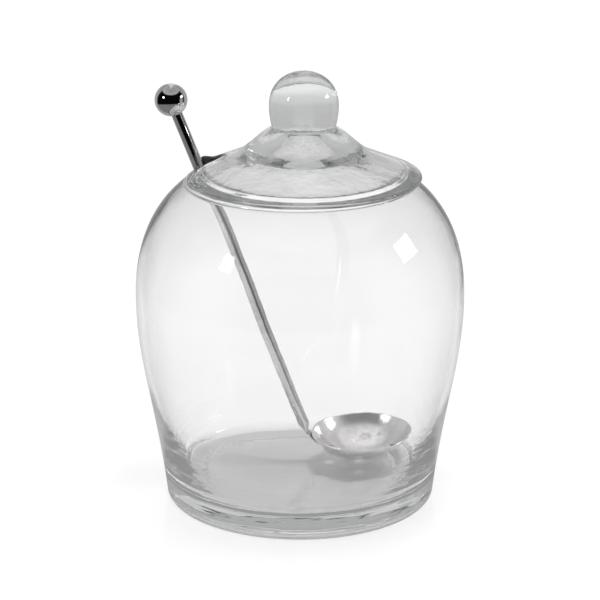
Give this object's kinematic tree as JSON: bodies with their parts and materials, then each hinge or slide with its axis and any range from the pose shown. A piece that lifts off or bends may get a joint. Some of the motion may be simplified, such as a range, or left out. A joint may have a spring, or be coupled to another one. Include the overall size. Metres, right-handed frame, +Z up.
{
  "type": "olive jar",
  "caption": "Clear glass olive jar with a lift-off notched glass lid, a glass ball knob, and a pierced steel ladle that leans out through the notch.",
  "frame": {"origin": "the middle of the jar's base, on the surface that it stands on", "axes": "+Z up along the jar's axis, -Y towards the front, with the ladle's handle leaning out to -X"},
  "size_m": [0.1322, 0.1322, 0.1759],
  "materials": {
    "clear_glass": "clear and glossy",
    "polished_steel": "polished",
    "satin_steel": "satin"
  },
  "bodies": {
    "jar": {"glass_jar": "clear_glass"},
    "lid": {"lid": "clear_glass", "lid_knob": "clear_glass"},
    "spoon": {"spoon_handle": "polished_steel", "spoon_ball": "polished_steel", "spoon_bowl": "satin_steel", "bowl_rivet": "satin_steel"}
  },
  "joints": [
    {"name": "lid_lift", "type": "slide", "parent": "jar", "child": "lid", "axis": [0, 0, 1], "range_m": [0, 0.06]},
    {"name": "spoon_lift", "type": "slide", "parent": "jar", "child": "spoon", "axis": [-0.363, 0.0219, 0.9315], "range_m": [0, 0.1]}
  ]
}
